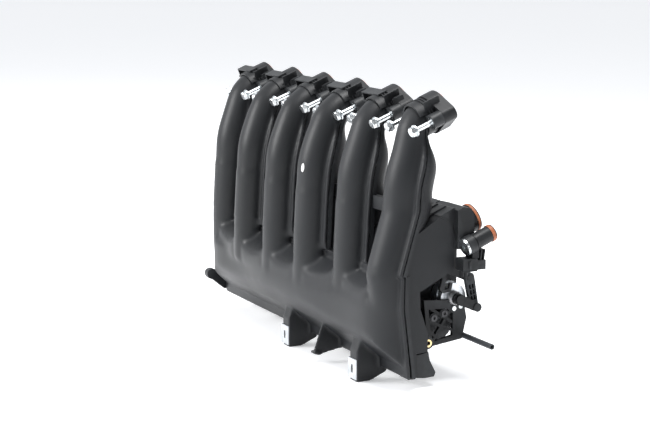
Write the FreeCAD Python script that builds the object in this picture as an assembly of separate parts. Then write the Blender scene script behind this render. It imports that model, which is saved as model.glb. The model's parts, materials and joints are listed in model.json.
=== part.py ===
import FreeCAD, Part
import math
import os

from FreeCAD import Vector

# Six-runner intake manifold, in millimetres.
# Bank frame, used for all modelling: +X along the bank from runner 1 to runner 6,
# +Y towards the engine, +Z up. Its origin is midway along the line of bolt heads.
# The port axis leans back from +Y by port_tilt. Everything is moved at the end, so
# that the origin of the finished part is the bottom centre of its bounding box.

# ---- overall ----
runner_count = 6
pitch = 91.0                  # runner spacing along the bank
port_tilt = 22.0              # port axis above horizontal, degrees
stand_z = -300.0              # the level that the bracket tips and rear feet stand on

# ---- runners ----
runner_r = 23.0               # outside radius low down
neck_r = 19.5                 # outside radius where a runner enters its collar
seam_offset = 5.5             # weld seam behind the runner's centre line
rear_depth = 6.0              # straight depth of the inner half-runners behind the seam
runner_bend_y = -18.4         # centre line where the straight lower stretch begins
runner_bend_z = -95.0
runner_low_y = -22.0          # centre line where it meets the collector
wall = 3.0                    # wall of the moulded shells
seam_flange_w = 8.0           # weld flange, outwards from the runner
seam_flange_t = 5.0           # weld flange, thickness on each shell
runner_setback_top = [9.5, 1.0, 0.0, 0.0, 8.5, 20.0]     # towards the engine, per runner
runner_setback_low = [9.0, 0.5, 0.0, 0.0, 8.5, 3.0]
stub_lean = [0.0, 0.0, 0.0, 0.0, 0.0, 9.0]      # backwards, over the stub's height

# ---- port collars ----
collar_front = 24.0           # distance from the bolt head line, along the port axis
collar_back = 55.0
collar_step = 41.0            # where the slimmer front barrel meets the rear flange
barrel_r = 20.9
flange_r = 22.5
lobe_r = 8.6
lobe_back = 46.5
port_r = 16.5
socket_depth = 16.0           # how far a runner neck goes into its collar
socket_gap = 0.1
bolt_offset = 27.65           # bolt axis from the port axis, along the bank
seal_groove_r = 18.2
seal_groove_w = 2.6
seal_groove_d = 3.0
seal_proud = 1.4

# ---- captive bolts ----
bolt_r = 3.0
bolt_length = 46.0
bolt_under_head = 3.2         # under-head face when the bolt is pulled out
bolt_flange_r = 6.75
bolt_flange_t = 1.6
bolt_hex_af = 10.0
bolt_hex_t = 5.4
sleeve_r = 5.2
sleeve_bore_r = 3.35

# ---- collector and plenum ----
collector_left = -250.0
collector_right = 250.5
collector_top = -172.0
seam_knee_z = -200.0
seam_bottom_z = -276.0
join_z = collector_top + seam_flange_w     # top of the collector's weld flange
stub_bottom = -212.0
seam_top_y = -10.0
seam_knee_y = -11.0
seam_bottom_y = -1.0
plenum_left = -238.0
plenum_recess_x = 205.0       # end wall of the full section; the recess lies beyond it
plenum_back = 58.0            # joint between rear shell and rear cover

# ---- brackets ----
bracket_x = [0.0, 182.0]      # mid-gap positions of the two nut brackets
tab_w = 19.0
tab_t = 4.0
tab_y = -32.0
gusset_t = 4.0
rear_foot_x = [-150.0, 50.0]
rear_foot_y = 65.0
nut_z = -285.0                # height of the nut's axis
clip_t = 1.2

# ---- small fittings of the rear shell ----
insert_y = 26.5
insert_z = -247.0
insert_r = 4.6
grommet_y = -27.0
grommet_z = -257.0
pillar_r = 4.8
pillar_places = [(42.0, -222.0), (56.0, -218.0)]

# ---- rear cover and throttle port ----
cover_depth = 32.0            # rear cover, from the joint to its back face
throttle_x = -110.0
throttle_z = -185.0
throttle_bore_r = 32.5
throttle_pcd_r = 46.0         # four M6 inserts
throttle_face_y = 104.0

# ---- changeover flaps ----
shaft_r = 4.0
bush_r = 6.5
flap_w = 57.0                 # one flap plate, along the shaft
flap_h = 43.0
flap_t = 2.4
window_gap = 0.5              # round a flap plate in its window
carrier_t = 5.0
carrier_left = -229.0
carrier_right = 196.0
carrier_h = 62.0

# ---- actuator and linkage ----
actuator_y = 71.0
actuator_z = -201.0
can_r = 16.5
can_back_x = 206.0
can_joint_x = 217.5
can_front_x = 229.0
lever_reach = 28.0
lever_drop = 26.0             # degrees below horizontal, towards the engine
link_dy = -7.0                # from the actuator's axis up to the flap shaft
link_dz = 35.0
bracket_t = 5.0
stud_r = 3.0
fork_back_x = 225.0           # flap lever, behind the link
link_back_x = 231.0
link_t = 5.0
lever_back_x = 237.5          # actuator lever, in front of the link
lever_t = 4.5

# ---- vent ----
big_tube_r = 16.5
big_tube_x = 235.0
big_mouth = (93.0, -106.0)    # y, z of the mouth's centre
small_tube_r = 9.5
small_tube_x = 262.0
plug_seat = (64.0, -136.0)
small_tube_length = 41.0
valve_top = -148.0
plug_r = 10.5

# ---- vacuum pipe ----
pipe_r = 3.3
pipe_y = 85.0
pipe_z = -248.0
pipe_start_x = 211.5
pipe_end_x = 292.0
pipe_bore_r = 2.0
pipe_bend_r = 12.0

inner_gap = 0.35              # clearance between moving and fixed faces
run_gap = 0.05                # radial clearance of a running fit

cos_t = math.cos(math.radians(port_tilt))
sin_t = math.sin(math.radians(port_tilt))
port_dir = Vector(0, cos_t, sin_t)
runner_x = [(i - (runner_count - 1) / 2.0) * pitch for i in range(runner_count)]
gap_x = [(i - (runner_count - 2) / 2.0) * pitch for i in range(runner_count - 1)]

parts = {}


def add(name, shape):
    parts[name] = shape


def box(x0, x1, y0, y1, z0, z1):
    return Part.makeBox(x1 - x0, y1 - y0, z1 - z0, Vector(x0, y0, z0))


def rod(radius, start, direction, length):
    return Part.makeCylinder(radius, length, start, direction)


def ring(outer, inner, start, direction, length):
    return rod(outer, start, direction, length).cut(rod(inner, start, direction, length))


def join(shapes):
    first = shapes[0]
    return first.fuse(shapes[1:]).removeSplitter() if len(shapes) > 1 else first


def extrude_x(points, x0, x1):
    wire = Part.makePolygon([Vector(x0, y, z) for y, z in points + points[:1]])
    return Part.Face(wire).extrude(Vector(x1 - x0, 0, 0))


def round_polygon(points, radii):
    """Closed wire at x = 0 through (y, z) corners, each rounded to its radius."""
    edges = []
    corners = []
    n = len(points)
    for k in range(n):
        p = Vector(0, *points[k])
        a = Vector(0, *points[k - 1]) - p
        b = Vector(0, *points[(k + 1) % n]) - p
        r = radii[k]
        if r <= 0:
            corners.append((p, None, p))
            continue
        half = a.getAngle(b) / 2.0
        back = r / math.tan(half)
        start = p + a.normalize() * back
        end = p + b.normalize() * back
        bisector = (a + b).normalize()
        mid = p + bisector * (r / math.sin(half) - r)
        corners.append((start, mid, end))
    for k in range(n):
        start, mid, end = corners[k]
        if mid is not None:
            edges.append(Part.Arc(start, mid, end).toShape())
        nxt = corners[(k + 1) % n][0]
        if end.distanceToPoint(nxt) > 1e-6:
            edges.append(Part.LineSegment(end, nxt).toShape())
    return Part.Wire(Part.__sortEdges__(edges))


def extrude_round(points, radii, x0, x1):
    wire = round_polygon(points, radii)
    wire.translate(Vector(x0, 0, 0))
    return Part.Face(wire).extrude(Vector(x1 - x0, 0, 0))


def on_port(x, s, up=0.0):
    """Point at distance s along the port axis line and `up` square to it."""
    return Vector(x, s * cos_t - up * sin_t, s * sin_t + up * cos_t)


def port_box(x, x0, x1, s0, s1, u0, u1):
    """Box lined up with the port axis: x across, s along the axis, u up from it."""
    block = Part.makeBox(x1 - x0, s1 - s0, u1 - u0, Vector(x + x0, s0, u0))
    block.rotate(Vector(0, 0, 0), Vector(1, 0, 0), port_tilt)
    return block


# ---------------------------------------------------------------- runners

def runner_stations(i):
    """Stations down a runner: (y, z, heading, radius, flange width, in the neck)."""
    top = runner_setback_top[i]
    stations = []
    for depth in (socket_depth, socket_depth / 2, 0):
        start = on_port(0, collar_front + depth)
        stations.append((start.y, start.z, 180 + port_tilt, neck_r, 0, True))
    stations += [(6.5 + 0.5 * top, -2.5, 224.0, 19.8, 0.6, False),
                 (-0.5 + 0.78 * top, -15.0, 241.0, 21.0, 3.0, False),
                 (-6.0 + 0.95 * top, -30.0, 250.0, 22.0, 6.5, False),
                 (-12.2 + top, -50.0, 257.0, runner_r, seam_flange_w, False),
                 (-16.2 + top, -72.0, 264.0, runner_r, seam_flange_w, False),
                 (runner_bend_y + top, runner_bend_z, 270.0, runner_r, seam_flange_w, False)]
    return stations


def section_point(x, station, across, out):
    """Point of a section: across the runner, and out from the seam to the front."""
    y, z, heading = station[:3]
    a = math.radians(heading)
    front = Vector(0, math.sin(a), -math.cos(a))
    return Vector(x, y, z) + front * (out - seam_offset) + Vector(across, 0, 0)


def front_section(x, station):
    """U section of an outer half-runner: tube wall and two weld flanges."""
    radius, flange, neck = station[3:]
    inner = radius - wall
    t = 0.4 if neck else seam_flange_t - 0.4
    out = math.sqrt(radius ** 2 - seam_offset ** 2) if neck else radius + flange

    def p(across, w):
        return section_point(x, station, across, w)

    off = seam_offset
    outer_arc = Part.Arc(p(radius, off), p(0, off + radius), p(-radius, off)).toShape()
    inner_arc = Part.Arc(p(inner, off), p(0, off + inner), p(-inner, off)).toShape()
    left = [p(-radius, off), p(-radius, t), p(-out, t), p(-out, 0), p(-inner, 0), p(-inner, off)]
    right = [p(inner, off), p(inner, 0), p(out, 0), p(out, t), p(radius, t), p(radius, off)]
    return closed_wire([outer_arc, inner_arc] + chain(left) + chain(right))


def rear_section(x, station):
    """U section of an inner half-runner."""
    radius, flange, neck = station[3:]
    t = -0.4 if neck else -seam_flange_t
    if neck:
        half = math.sqrt(radius ** 2 - (seam_offset - t) ** 2)
        inner = math.sqrt((radius - wall) ** 2 - (seam_offset - t) ** 2)
        depth = radius - seam_offset
        out = math.sqrt(radius ** 2 - seam_offset ** 2)
    else:
        half = radius
        inner = half - wall
        depth = radius - seam_offset + (rear_depth + seam_offset) * flange / seam_flange_w
        out = radius + flange

    def p(across, w):
        return section_point(x, station, across, w)

    outer_arc = Part.Arc(p(half, t), p(0, -depth), p(-half, t)).toShape()
    inner_arc = Part.Arc(p(inner, t), p(0, wall - depth), p(-inner, t)).toShape()
    left = [p(-half, t), p(-out, t), p(-out, 0), p(-inner, 0), p(-inner, t)]
    right = [p(inner, t), p(inner, 0), p(out, 0), p(out, t), p(half, t)]
    return closed_wire([outer_arc, inner_arc] + chain(left) + chain(right))


def low_rise(i):
    station = runner_stations(i)[-1]
    return Vector(0, runner_low_y + runner_setback_low[i] - station[0], join_z - runner_bend_z)


def low_prism(i, x):
    """Straight lower stretch of an outer half-runner, from its bend to the collector."""
    return Part.Face(front_section(x, runner_stations(i)[-1])).extrude(low_rise(i))


def low_filled(i, x, inset):
    """The same stretch of an inner half-runner, solid: its outside, or its bore."""
    section = filled_section(x, runner_stations(i)[-1], False, inset)
    return Part.Face(section).extrude(low_rise(i))


def filled_section(x, station, front, inset):
    """D section: the outside of a half-runner (inset 0) or its bore (inset wall)."""
    radius = station[3] - inset
    off = seam_offset
    sign = 1 if front else -1
    depth = off + radius if front else rear_depth + radius
    side = off if front else -seam_flange_t

    def p(across, w):
        return section_point(x, station, across, w)

    arc = Part.Arc(p(radius, side), p(0, sign * depth), p(-radius, side)).toShape()
    return closed_wire([arc] + chain([p(-radius, side), p(-radius, 0), p(radius, 0),
                                      p(radius, side)]))


def stub(i, x, front, inset, bottom):
    """Vertical D prism that carries a half-runner on into the collector."""
    station = (runner_low_y + runner_setback_low[i], join_z, 270.0, runner_r, 0, False)
    face = Part.Face(filled_section(x, station, front, inset))
    return face.extrude(Vector(0, stub_lean[i] if front else 0, bottom - join_z))


def chain(points):
    return [Part.LineSegment(points[k], points[k + 1]).toShape() for k in range(len(points) - 1)]


def closed_wire(edges):
    return Part.Wire(Part.__sortEdges__(edges))


def loft(wires):
    return Part.makeLoft(wires, True, False)


# ---------------------------------------------------------------- collector (front)

seam_line = [(seam_top_y, collector_top), (seam_knee_y, seam_knee_z),
             (seam_bottom_y, seam_bottom_z)]


def plan_outline(front, left, right, back):
    """Crowned plan outline, extruded down through the collector."""
    points = [Vector(left, back, 0), Vector(left, -14 + front, 0),
              Vector(left + 12, -31 + front, 0), Vector(left + 75, -39.5 + front, 0),
              Vector(-45, -45 + front, 0), Vector(90, -43 + front, 0),
              Vector(182, -39 + front, 0), Vector(right - 20, -35 + front, 0),
              Vector(right - 5, -24 + front, 0), Vector(right, -12 + front, 0)]
    curve = Part.BSplineCurve()
    curve.interpolate(points[1:])
    edges = [Part.LineSegment(points[0], points[1]).toShape(), curve.toShape(),
             Part.LineSegment(points[-1], Vector(right, back, 0)).toShape(),
             Part.LineSegment(Vector(right, back, 0), points[0]).toShape()]
    face = Part.Face(Part.Wire(Part.__sortEdges__(edges)))
    face.translate(Vector(0, 0, -300))
    return face.extrude(Vector(0, 0, 200))


def collector_solid(inset):
    section = [(seam_top_y, collector_top - inset), (-34 + inset, -196.0 - inset * 0.6),
               (-45 + inset, -208.0), (-45 + inset, -226.0),
               (-30.5 + inset * 0.8, -250.0 + inset), (seam_bottom_y, seam_bottom_z + inset),
               (seam_knee_y, seam_knee_z)]
    radii = [0, 7.0, 9.0, 12.0, 8.0, 0, 0]
    solid = extrude_round(section, radii, collector_left + inset, collector_right - inset)
    return solid.common(plan_outline(inset, collector_left + inset, collector_right - inset, 10))


def seam_band(y_front, y_back, grow):
    """Band along the seam line, as wide as the weld flange stands out."""
    top = collector_top + grow
    (y0, z0), (y1, z1), (y2, z2) = seam_line
    low = z2 - grow
    points = [(y0 + y_front, top), (y1 + y_front, z1), (y2 + y_front, low),
              (y2 + y_back, low), (y1 + y_back, z1), (y0 + y_back, top)]
    return extrude_x(points, collector_left - grow, collector_right + grow)


def make_front_shell():
    outer = [collector_solid(0.0), seam_band(-seam_flange_t, 0, seam_flange_w)]
    inner = [collector_solid(wall)]
    inner.append(extrude_x([(seam_top_y - 8, collector_top - wall - 6),
                            (seam_knee_y - 8, seam_knee_z),
                            (seam_bottom_y - 6, seam_bottom_z + wall + 4),
                            (seam_bottom_y + 6, seam_bottom_z + wall + 4),
                            (seam_knee_y + 6, seam_knee_z),
                            (seam_top_y + 6, collector_top - wall - 6)],
                           collector_left + wall, collector_right - wall))
    for i, x in enumerate(runner_x):
        outer.append(stub(i, x, True, 0, stub_bottom))
        inner.append(stub(i, x, True, wall, stub_bottom + 6))
    shell = outer[0].fuse(outer[1:])
    shell = shell.cut(Part.makeCompound(inner[:2])).cut(Part.makeCompound(inner[2:]))
    shell = shell.cut(behind_seam())
    runners = []
    for i, x in enumerate(runner_x):
        runners.append(low_prism(i, x))
        runners.append(loft([front_section(x, s) for s in runner_stations(i)]))
    return shell.fuse(runners + brackets())


def behind_seam():
    return extrude_x([(seam_top_y, join_z)] + seam_line[1:] + [(seam_bottom_y, -320), (90, -320),
                                                              (90, join_z)],
                     collector_left - 20, collector_right + 20)


def ahead_of_seam():
    return extrude_x([(seam_top_y, join_z)] + seam_line[1:] + [(seam_bottom_y, -320), (-90, -320),
                                                              (-90, join_z)],
                     collector_left - 20, collector_right + 20)


# ---------------------------------------------------------------- plenum (rear)

plenum_section = [(seam_top_y, collector_top), (-4, -150), (2, -122), (39, -100), (55, -93.5),
                  (plenum_back, -93.0), (plenum_back, -262.0), (31, -283), (seam_bottom_y, -284),
                  (seam_bottom_y, seam_bottom_z), (seam_knee_y, seam_knee_z)]


def offset_section(points, inset):
    """Shrink a convex-ish section towards its middle by `inset` on every side."""
    face = Part.Face(Part.makePolygon([Vector(0, y, z) for y, z in points + points[:1]]))
    wire = face.makeOffset2D(-inset, join=2).OuterWire
    return wire


def plenum_solid(inset):
    if inset == 0:
        return extrude_x(plenum_section, plenum_left, plenum_recess_x)
    wire = offset_section(plenum_section, inset)
    wire.translate(Vector(plenum_left + inset, 0, 0))
    return Part.Face(wire).extrude(Vector(plenum_recess_x - plenum_left - 2 * inset, 0, 0))


lobe_section = [(-4, -150), (2, -122), (39, -100), (54, -110), (plenum_back, -122),
                (plenum_back, -163), (15, -184), (seam_top_y, -188)]
lobe_pocket = [(36, -112), (50, -114), (plenum_back + 1, -124), (plenum_back + 1, -135),
               (36, -150)]
column_section = [(seam_top_y, -170), (15, -172), (13, -182), (14, -205), (24, -234), (24, -256),
                  (9.5, -257), (11, -284), (seam_bottom_y, -284), (seam_bottom_y, seam_bottom_z),
                  (seam_knee_y, seam_knee_z)]
column_pocket = [(-16, -186), (9, -188), (10, -206), (19, -236), (19, -251), (5, -253), (4, -270),
                 (-8, -270), (-17, -200)]


def make_rear_shell():
    end_x = collector_right + 0.6
    outer = [plenum_solid(0), extrude_x(lobe_section, plenum_recess_x, end_x),
             extrude_x(column_section, plenum_recess_x, end_x),
             seam_band(0, seam_flange_t, seam_flange_w)]
    inner = [plenum_solid(wall), rear_opening(),
             extrude_x([(seam_top_y - 6, collector_top - wall - 6), (seam_knee_y - 6, seam_knee_z),
                        (seam_bottom_y - 6, seam_bottom_z + wall + 4),
                        (seam_bottom_y + 8, seam_bottom_z + wall + 4),
                        (seam_top_y + 16, collector_top - wall - 6)],
                       collector_left + wall + 9, plenum_recess_x - wall),
             extrude_x(lobe_pocket, plenum_recess_x + wall, end_x - wall),
             extrude_x(column_pocket, plenum_recess_x + wall, end_x - wall)]
    for i, x in enumerate(runner_x):
        outer.append(low_filled(i, x, 0))
        inner.append(low_filled(i, x, wall))
        if x < plenum_recess_x:
            outer.append(stub(i, x, False, 0, collector_top - 10))
            inner.append(stub(i, x, False, wall, collector_top - 10))
    shell = outer[0]
    for solid in outer[1:]:
        shell = shell.fuse(solid)
    for tool in inner:
        shell = shell.cut(tool)
    shell = shell.cut(ahead_of_seam())
    extras = cross_ties() + rear_feet() + bracket_pillars() + [side_foot(), left_boss()]
    for i, x in enumerate(runner_x):
        extras.append(loft([rear_section(x, s) for s in runner_stations(i)]))
        for side in (-1, 1):
            extras.append(flange_strip(i, x, side))
    extras.append(hose_hook())
    extras += roof_ribs()
    shell = shell.fuse(extras)
    tools = [insert_pocket(), grommet_bore()] + pillar_bores()
    return shell.cut(tools)


def flange_strip(i, x, side):
    """Weld flange beside the straight lower stretch of an inner half-runner."""
    station = runner_stations(i)[-1]
    rise = Vector(0, runner_low_y + runner_setback_low[i] - station[0], join_z - runner_bend_z)
    near = side * (runner_r - wall)
    far = side * (runner_r + seam_flange_w)
    loop = [section_point(x, station, near, 0), section_point(x, station, far, 0),
            section_point(x, station, far, -seam_flange_t),
            section_point(x, station, near, -seam_flange_t)]
    return Part.Face(Part.makePolygon(loop + loop[:1])).extrude(rise)


def cross_ties():
    ties = []
    for k, x in enumerate(gap_x):
        ties.append(box(x - 24, x + 24, -3, 2, -99, -84))
        ties.append(box(x - 24, x + 24, 2, 6, -99, -96))
        ties.append(box(x - 24, x + 24, 2, 6, -87, -84))
    return ties


def brackets():
    """Two nut tabs with their gussets, and the plain middle gusset."""
    solids = []
    top = -249.0
    low = seam_bottom_z - seam_flange_w - 0.6
    for x in bracket_x:
        tab = extrude_x([(tab_y - tab_t, top - 14), (tab_y + 2, top + 2), (tab_y + 6, top),
                         (tab_y, top - 16), (tab_y, stand_z), (tab_y - tab_t, stand_z)],
                        x - tab_w / 2.0, x + tab_w / 2.0)
        tab = tab.cut(rod(3.6, Vector(x - 1, tab_y - 10, nut_z), Vector(0, 1, 0), 20))
        web = extrude_x([(tab_y - 1, top - 4), (tab_y - 1, stand_z), (tab_y + 15, stand_z),
                         (4, -291), (4, low), (-2, low), (-2, -270), (-16, -262)],
                        x + tab_w / 2.0 - gusset_t, x + tab_w / 2.0)
        solids += [tab, web]
    x = gap_x[3]
    solids.append(extrude_x([(-31, -252), (-43, -287), (-36, -290), (-2, low), (-2, -270),
                             (-14, -262)], x - gusset_t / 2, x + gusset_t / 2))
    solids.append(extrude_x([(-45, -287.5), (-36, -290.5), (-30, -289.2), (-41, -284.5)],
                            x - 8, x + 4))
    return solids


def rear_feet():
    feet = []
    for x in rear_foot_x:
        leg = extrude_x([(50, -266), (57.5, -260.5), (57.5, -267), (74, -284), (74, stand_z),
                         (54, stand_z), (36, -277)], x - 11, x + 11)
        hole = rod(4.2, Vector(x, rear_foot_y, stand_z - 1), Vector(0, 0, 1), 60)
        pad = box(x - 9, x + 9, rear_foot_y - 8, rear_foot_y + 8, stand_z + 7, -262)
        feet.append(leg.cut(hole).cut(pad))
    return feet


def side_foot():
    foot = extrude_x([(2, -262), (28, -258), (30, -268), (38, -283), (36, -288), (24, -288.5),
                      (12, -287), (2, -288)], 226, 246)
    boss = rod(7.0, Vector(222, 26.5, -247), Vector(1, 0, 0), 26)
    arm = extrude_x([(10, -240), (27, -240), (27, -254), (10, -258)], 222, 240)
    return foot.fuse([boss, arm])


def insert_pocket():
    return rod(insert_r, Vector(231, insert_y, insert_z), Vector(1, 0, 0), 20)


def left_boss():
    boss = rod(7.5, Vector(-268, grommet_y, grommet_z), Vector(1, 0, 0), 9.6)
    lug = extrude_x([(-31, -261), (-23, -251), (-12, -260), (4, -265), (6, -279), (-8, -280)],
                    -267, -258.4)
    root = box(-263, -252, -0.5, 4.5, -279, -266)
    return boss.fuse([lug, root])


def grommet_bore():
    return rod(4.6, Vector(-270, grommet_y, grommet_z), Vector(1, 0, 0), 10.5)


def rear_opening():
    return box(plenum_left + wall + 4, plenum_recess_x - wall - 4, plenum_back - 8,
               plenum_back + 8, -255, -100)


def bracket_pillars():
    """Two pillars on the end wall that carry the actuator's bracket."""
    return [rod(pillar_r, Vector(plenum_recess_x - wall, y, z), Vector(1, 0, 0),
                can_front_x - plenum_recess_x + wall) for y, z in pillar_places]


def pillar_bores():
    return [rod(2.1, Vector(can_front_x - 16, y, z), Vector(1, 0, 0), 20)
            for y, z in pillar_places]


def hose_hook():
    """Small open hook for a vacuum hose, hanging below the end lobe."""
    arm = extrude_x([(48, -164), (54, -162), (59, -176), (56, -190), (50, -190), (53, -176)],
                    230, 234)
    return arm.fuse(extrude_x([(50, -186), (56, -190), (62, -189), (64, -182), (67, -183),
                               (65, -192), (55, -194), (50, -190)], 230, 234))


def roof_ribs():
    """Shallow ribs up the plenum roof, along the port axis."""
    ribs = []
    for x in (-190, -99, -8, 83, 150, 178, 214, 232):
        ribs.append(extrude_x([(12, -118), (13, -113.6), (39, -98.2), (56, -91.2), (57.5, -92),
                               (57.5, -95), (39, -102)], x - 1.5, x + 1.5))
    return ribs


# ---------------------------------------------------------------- mechanism geometry

lever_a = math.radians(lever_drop)
lever_dy = lever_reach * math.cos(lever_a)
lever_dz = -lever_reach * math.sin(lever_a)
flap_axis_y = actuator_y + link_dy
flap_axis_z = actuator_z + link_dz
cover_back_y = plenum_back + cover_depth


# ---------------------------------------------------------------- collars and bolts

def make_collar(i, x):
    start = on_port(x, collar_front)
    solids = [rod(barrel_r, start, port_dir, collar_back - collar_front),
              rod(flange_r, on_port(x, collar_step), port_dir, collar_back - collar_step),
              port_box(x, -bolt_offset, bolt_offset, collar_front, lobe_back, -6.5, 6.5)]
    for side in (-1, 1):
        solids.append(rod(lobe_r, on_port(x + side * bolt_offset, collar_front), port_dir,
                          lobe_back - collar_front))
    if i < runner_count - 1:
        solids.append(port_box(x, 25.5, 29.0, 33, 46.5, 4, 15.5))
        solids.append(port_box(x, 12, 29.0, 44.5, 46.5, 4, 12.0))
    body = join(solids)
    socket = rod(neck_r + socket_gap, start, port_dir, socket_depth)
    mouth = rod(neck_r + 0.9, on_port(x, collar_front - 1), port_dir, 5.0)
    bore = rod(port_r, start, port_dir, collar_back - collar_front + 1)
    groove = ring(seal_groove_r + seal_groove_w, seal_groove_r,
                  on_port(x, collar_back - seal_groove_d), port_dir, seal_groove_d + 1)
    tools = [socket, mouth, bore, groove]
    for side in (-1, 1):
        tools.append(rod(sleeve_r, on_port(x + side * bolt_offset, collar_front - 1), port_dir,
                         lobe_back - collar_front + 2))
    for tool in tools:
        body = body.cut(tool)
    return body


def make_seal(x):
    return ring(seal_groove_r + seal_groove_w - 0.05, seal_groove_r + 0.05,
                on_port(x, collar_back - seal_groove_d), port_dir, seal_groove_d + seal_proud)


def make_bolt(x):
    head_start = bolt_under_head - bolt_flange_t - bolt_hex_t
    wire = Part.makePolygon([Vector(bolt_hex_af / math.sqrt(3) * math.cos(math.radians(60 * k)),
                                    bolt_hex_af / math.sqrt(3) * math.sin(math.radians(60 * k)), 0)
                             for k in range(7)])
    hexagon = Part.Face(wire).extrude(Vector(0, 0, bolt_hex_t))
    hexagon = hexagon.common(Part.makeCone(bolt_hex_af * 0.5, bolt_hex_af * 0.5 + bolt_hex_t,
                                           bolt_hex_t))
    hexagon.rotate(Vector(0, 0, 0), Vector(1, 0, 0), port_tilt - 90)
    hexagon.translate(on_port(x, head_start))
    flange = rod(bolt_flange_r, on_port(x, bolt_under_head - bolt_flange_t), port_dir,
                 bolt_flange_t)
    shank = rod(bolt_r, on_port(x, bolt_under_head), port_dir, bolt_length)
    return join([hexagon, flange, shank])


def make_sleeve(x):
    return ring(sleeve_r, sleeve_bore_r, on_port(x, collar_front), port_dir,
                lobe_back - collar_front)


def make_loom_channel(x):
    """Channel for the engine loom, clipped on top of a collar's front barrel."""
    plates = [port_box(x, -33, 8, 26, 39, barrel_r + 0.1, barrel_r + 1.7),
              port_box(x, -33, -31.4, 26, 39, 11.2, barrel_r + 1.7),
              port_box(x, -33, -17.8, 24.3, 36, 11.2, 12.8)]
    return join(plates)


# ---------------------------------------------------------------- brackets' fittings

def make_clip_nut(x):
    """Steel U-nut slid over a bracket tab from the side away from its gusset."""
    half = tab_w / 2.0
    front = tab_y - tab_t
    top = nut_z + 12
    low = nut_z - 12
    gap = 0.05
    plates = [box(x - half - clip_t, x + half, front - clip_t - gap, front - gap, low, top),
              box(x - half - clip_t, x - half - gap, front - clip_t - gap, tab_y + clip_t + gap,
                  low, top),
              box(x - half - clip_t, x + half - gusset_t - 0.3, tab_y + gap,
                  tab_y + clip_t + gap, low, top)]
    slot_mid = Vector(x - 1, front - 5, nut_z)
    slot = [box(x - 3, x + 1, front - 5, front, nut_z - 4, nut_z + 4)]
    bore = rod(2.5, slot_mid, Vector(0, 1, 0), 20)
    body = join(plates + [rod(5.0, Vector(x - 1, tab_y + gap, nut_z), Vector(0, 1, 0), 5.5)])
    return body.cut(slot + [bore])


def make_support_insert():
    axis = Vector(1, 0, 0)
    return ring(insert_r - 0.03, 2.5, Vector(231, insert_y, insert_z), axis, 17.5)


def make_grommet():
    axis = Vector(1, 0, 0)
    seat = Vector(-268, grommet_y, grommet_z)
    flange = rod(6.8, seat, axis * -1, 2.5)
    barrel = rod(4.57, seat, axis, 8.4)
    return flange.fuse(barrel).cut(rod(2.4, seat - axis * 3, axis, 14)).removeSplitter()


# ---------------------------------------------------------------- rear cover

cover_section = [(plenum_back, -92.5), (66, -89.5), (80, -98), (cover_back_y, -116),
                 (cover_back_y, -225), (80, -250), (66, -262), (plenum_back, -262)]


def make_rear_cover():
    body = extrude_x(cover_section, plenum_left, plenum_recess_x)
    hollow = offset_section(cover_section, wall)
    hollow.translate(Vector(plenum_left + wall, 0, 0))
    length = plenum_recess_x - plenum_left - 2 * wall
    inside = Part.Face(hollow).extrude(Vector(length, 0, 0))
    mouth = box(plenum_left + wall, plenum_recess_x - wall, plenum_back - 1, plenum_back + 8,
                -258, -97)
    axis = Vector(0, 1, 0)
    centre = Vector(throttle_x, cover_back_y - 1, throttle_z)
    depth = throttle_face_y - cover_back_y + 1
    port = rod(throttle_bore_r + 6, centre, axis, depth)
    flange = Part.makeBox(84, 10, 84, Vector(throttle_x - 42, throttle_face_y - 10,
                                            throttle_z - 42))
    flange = flange.makeFillet(9, [e for e in flange.Edges
                                   if abs(e.tangentAt(e.FirstParameter).y) > 0.99])
    solids = [body, port, flange]
    for x, z in throttle_holes():
        solids.append(rod(7, Vector(x, cover_back_y - 1, z), axis, depth))
    cover = body.fuse(solids[1:])
    tools = [inside, mouth, rod(throttle_bore_r, centre - axis * 4, axis, depth + 8),
             ring(throttle_bore_r + 5.0, throttle_bore_r + 2.0,
                  Vector(throttle_x, throttle_face_y - 2.2, throttle_z), axis, 4),
             rod(bush_r + 0.02, Vector(plenum_recess_x - 10, flap_axis_y, flap_axis_z),
                 Vector(1, 0, 0), 20)]
    for x, z in throttle_holes():
        tools.append(rod(4.3, Vector(x, throttle_face_y - 11, z), axis, 12))
    return cover.cut(tools)


def throttle_holes():
    spread = throttle_pcd_r / math.sqrt(2)
    return [(throttle_x + a * spread, throttle_z + b * spread) for a in (-1, 1) for b in (-1, 1)]


def make_throttle_seal():
    return ring(throttle_bore_r + 4.95, throttle_bore_r + 2.05,
                Vector(throttle_x, throttle_face_y - 2.2, throttle_z), Vector(0, 1, 0), 3.2)


def make_throttle_inserts():
    return [ring(4.27, 2.5, Vector(x, throttle_face_y - 10.9, z), Vector(0, 1, 0), 10.9)
            for x, z in throttle_holes()]


# ---------------------------------------------------------------- flaps

window_pitch = (carrier_right - carrier_left) / runner_count
window_x = [carrier_left + window_pitch * (k + 0.5) for k in range(runner_count)]
post_x = [carrier_left + window_pitch * k for k in range(1, runner_count)]
screw_offset = 18.0


def flap_rod(radius, x0, x1):
    return rod(radius, Vector(x0, flap_axis_y, flap_axis_z), Vector(1, 0, 0), x1 - x0)


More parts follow.
